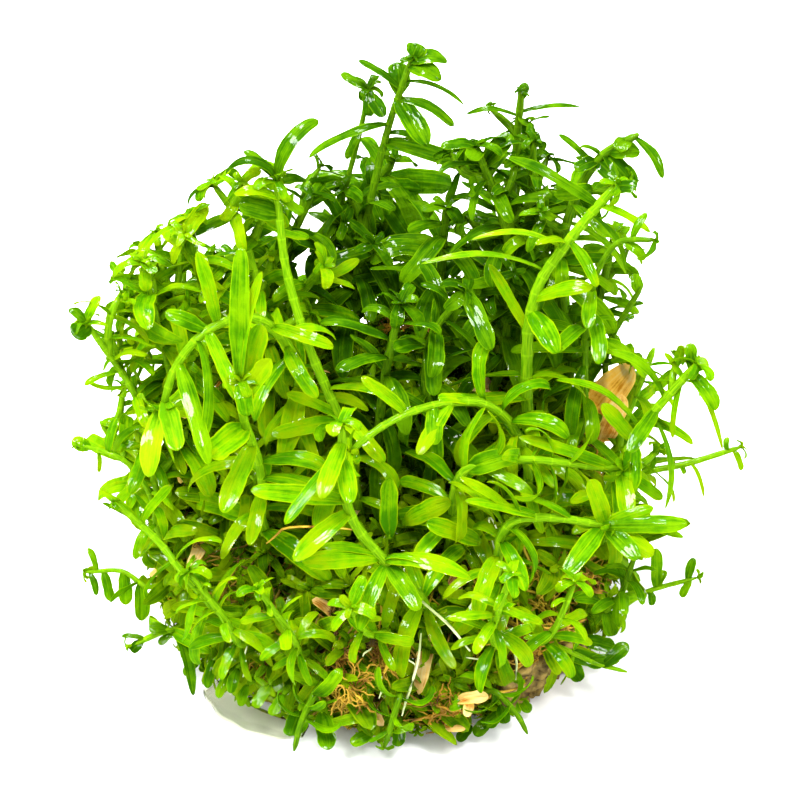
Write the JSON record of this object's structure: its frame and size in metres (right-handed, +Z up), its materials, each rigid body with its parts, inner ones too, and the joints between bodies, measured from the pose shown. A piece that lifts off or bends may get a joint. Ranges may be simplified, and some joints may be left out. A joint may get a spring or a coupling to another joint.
{
  "type": "rotala clump",
  "caption": "Clump of bright green rotala lifted from its growing cup: a brown root mat that stands on its flat underside, crowded undergrowth and long leafy shoots.",
  "frame": {"origin": "centre of the root mat's flat underside, on the surface that it stands on", "axes": "+Z up; -Y towards the front as pictured; +X to the right as seen from the front"},
  "size_m": [0.0875, 0.0788, 0.0704],
  "materials": {
    "rotala_leaf": "gloss",
    "undergrowth": "satin",
    "root_mat": "matte",
    "gel": "gloss"
  },
  "bodies": {
    "root": {"gel_scrap": "gel", "root_mat": "root_mat", "shoot_back_dark": "rotala_leaf", "shoot_back_left": "rotala_leaf", "shoot_back_mid": "rotala_leaf", "shoot_back_right": "rotala_leaf", "shoot_back_tall": "rotala_leaf", "shoot_back_thin": "rotala_leaf", "shoot_centre_arch": "rotala_leaf", "shoot_centre_back": "rotala_leaf", "shoot_centre_left": "rotala_leaf", "shoot_centre_top": "rotala_leaf", "shoot_front_bud": "rotala_leaf", "shoot_front_drop_left": "rotala_leaf", "shoot_front_drop_mid": "rotala_leaf", "shoot_front_drop_right": "rotala_leaf", "shoot_front_left": "rotala_leaf", "shoot_front_main": "rotala_leaf", "shoot_front_middle": "rotala_leaf", "shoot_front_right": "rotala_leaf", "shoot_front_shelf": "rotala_leaf", "shoot_hollow": "rotala_leaf", "shoot_left_arch": "rotala_leaf", "shoot_left_arm": "rotala_leaf", "shoot_left_branch": "rotala_leaf", "shoot_left_curl": "rotala_leaf", "shoot_left_far": "rotala_leaf", "shoot_left_ground": "rotala_leaf", "shoot_left_low_arm": "rotala_leaf", "shoot_left_reach": "rotala_leaf", "shoot_left_tall": "rotala_leaf", "shoot_left_wet": "rotala_leaf", "shoot_left_whorl": "rotala_leaf", "shoot_rear_01": "rotala_leaf", "shoot_rear_02": "rotala_leaf", "shoot_rear_03": "rotala_leaf", "shoot_rear_04": "rotala_leaf", "shoot_rear_05": "rotala_leaf", "shoot_rear_06": "rotala_leaf", "shoot_rear_07": "rotala_leaf", "shoot_rear_08": "rotala_leaf", "shoot_rear_09": "rotala_leaf", "shoot_right_arm": "rotala_leaf", "shoot_right_back": "rotala_leaf", "shoot_right_drop": "rotala_leaf", "shoot_right_far": "rotala_leaf", "shoot_right_front": "rotala_leaf", "shoot_right_ground": "rotala_leaf", "shoot_right_ground_arm": "rotala_leaf", "shoot_right_low": "rotala_leaf", "shoot_right_mid": "rotala_leaf", "shoot_right_small": "rotala_leaf", "shoot_right_tall": "rotala_leaf", "undergrowth": "undergrowth"}
  },
  "joints": []
}
